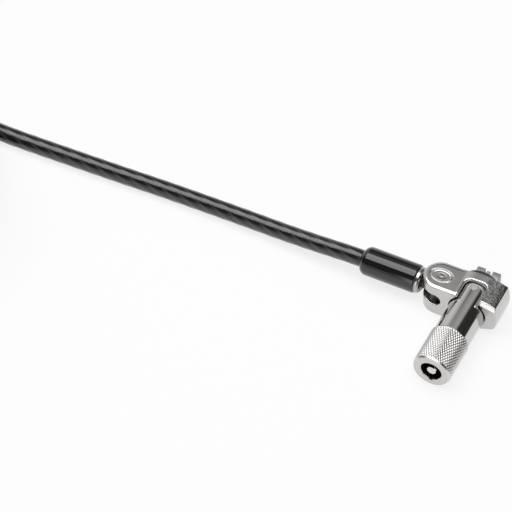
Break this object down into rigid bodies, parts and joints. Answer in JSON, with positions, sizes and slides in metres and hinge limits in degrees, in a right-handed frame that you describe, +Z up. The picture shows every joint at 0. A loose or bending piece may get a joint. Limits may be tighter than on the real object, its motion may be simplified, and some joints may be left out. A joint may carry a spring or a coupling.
{
  "type": "laptop cable lock",
  "caption": "Keyed security lock for a laptop slot: a knurled barrel in a pivoting lock body, on a sleeved steel cable with an anchor loop.",
  "frame": {"origin": "on the lock axis, in the gasket face that rests on the laptop's wall", "axes": "+Y along the lock axis into the laptop's security slot, +Z up from the table through the flat top, the cable leaves towards -X"},
  "size_m": [0.1959, 0.074, 0.0269],
  "materials": {
    "cable_coating": "glossy clear-coated vinyl over twisted steel",
    "tie_fabric": "hook-and-loop tape",
    "crimp_metal": "crimped aluminium",
    "sleeve_plastic": "glossy moulded",
    "nickel": "satin nickel plate",
    "steel": "turned",
    "brass": "machined",
    "claw_steel": "hardened, matte",
    "rubber": "matte"
  },
  "bodies": {
    "cable": {"cable_run": "cable_coating", "cable_coil": "cable_coating", "cable_tail": "cable_coating", "coil_ties": "tie_fabric", "loop_ferrule": "crimp_metal", "cable_sleeve": "sleeve_plastic", "crimp_ferrule": "steel", "cable_end": "cable_coating", "ferrule_ring": "nickel"},
    "stem": {"swivel_stem": "nickel"},
    "head": {"lock_body": "nickel", "pivot_pin": "steel", "barrel_tube": "nickel", "knurled_grip": "nickel", "barrel_pin": "steel", "face_cap": "nickel", "pin_block": "brass", "driver_pins": "steel", "driver_springs": "steel", "tip_guide": "claw_steel", "gasket": "rubber"},
    "plug": {"lock_plug": "brass", "key_pins": "steel", "drive_spindle": "steel", "cam_disc": "steel", "spindle_clip": "steel"},
    "left_claw": {"claw_left": "claw_steel"},
    "right_claw": {"claw_right": "claw_steel"}
  },
  "joints": [
    {"name": "stem_spin", "type": "hinge", "parent": "cable", "child": "stem", "pos_m": [-0.0147, -0.00535, 0], "axis": [1, 0, 0], "continuous": true},
    {"name": "head_pivot", "type": "hinge", "parent": "stem", "child": "head", "pos_m": [-0.0089, -0.00535, 0], "axis": [0, 0, 1], "range_deg": [-90, 0]},
    {"name": "key_turn", "type": "hinge", "parent": "head", "child": "plug", "pos_m": [0, -0.0225, 0], "axis": [0, 1, 0], "range_deg": [0, 90]},
    {"name": "claw_left_slide", "type": "slide", "parent": "head", "child": "left_claw", "axis": [-1, 0, 0], "range_m": [0, 0.0006]},
    {"name": "claw_right_slide", "type": "slide", "parent": "head", "child": "right_claw", "axis": [1, 0, 0], "range_m": [0, 0.0006]}
  ],
  "couplings": [
    {"joint": "key_turn", "follows": "claw_left_slide", "rad_per_m": 2618},
    {"joint": "claw_right_slide", "follows": "claw_left_slide", "ratio": 1}
  ]
}
